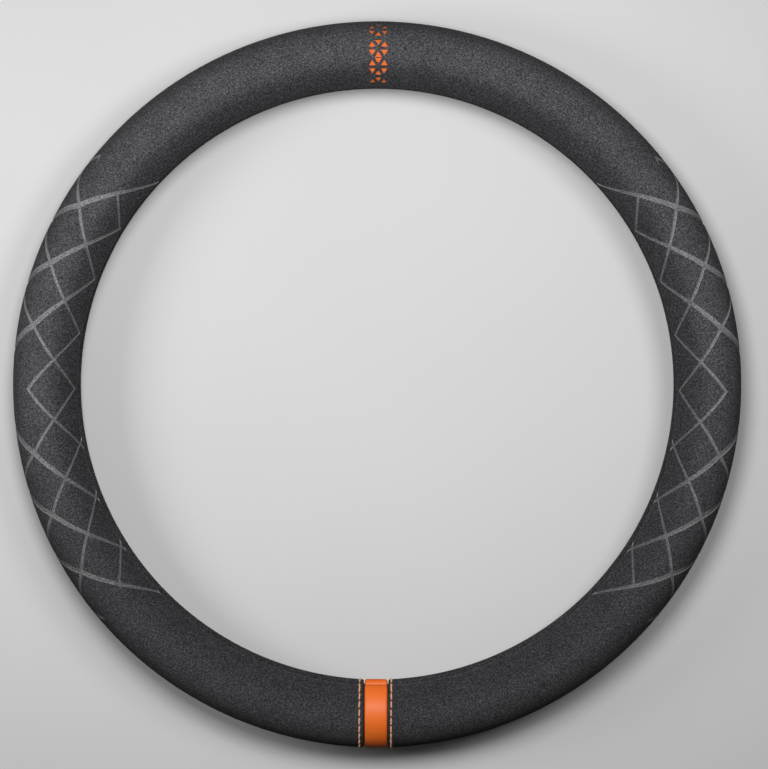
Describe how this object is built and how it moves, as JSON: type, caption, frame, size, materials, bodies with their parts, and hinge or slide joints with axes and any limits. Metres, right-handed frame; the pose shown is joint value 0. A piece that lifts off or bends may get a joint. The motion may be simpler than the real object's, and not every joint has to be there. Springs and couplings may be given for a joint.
{
  "type": "steering wheel cover",
  "caption": "Ring-shaped cover with a C-shaped section that grips a steering wheel's rim: ribbed rubber ring in lattice-pressed suede, with a stitched leather band and a punched column.",
  "frame": {"origin": "on the ring's axis, in the plane of the flat annulus at the back that it rests on", "axes": "+Z along the ring's axis, out of the front; +Y from the leather band towards the punched column; +X to the right as seen from the front"},
  "size_m": [0.3832, 0.3832, 0.0364],
  "materials": {
    "suede": "matt short nap",
    "rubber": "matt moulded",
    "leather": "smooth semi-matt",
    "backing": "matt",
    "thread": "twisted, slightly shiny"
  },
  "bodies": {
    "root": {"rubber_ring_left": "rubber", "rubber_ring_right": "rubber", "suede_skin_left": "suede", "suede_skin_right": "suede", "leather_band": "leather", "perforation_backing": "backing", "stitching_left": "thread", "stitching_right": "thread"}
  },
  "joints": []
}
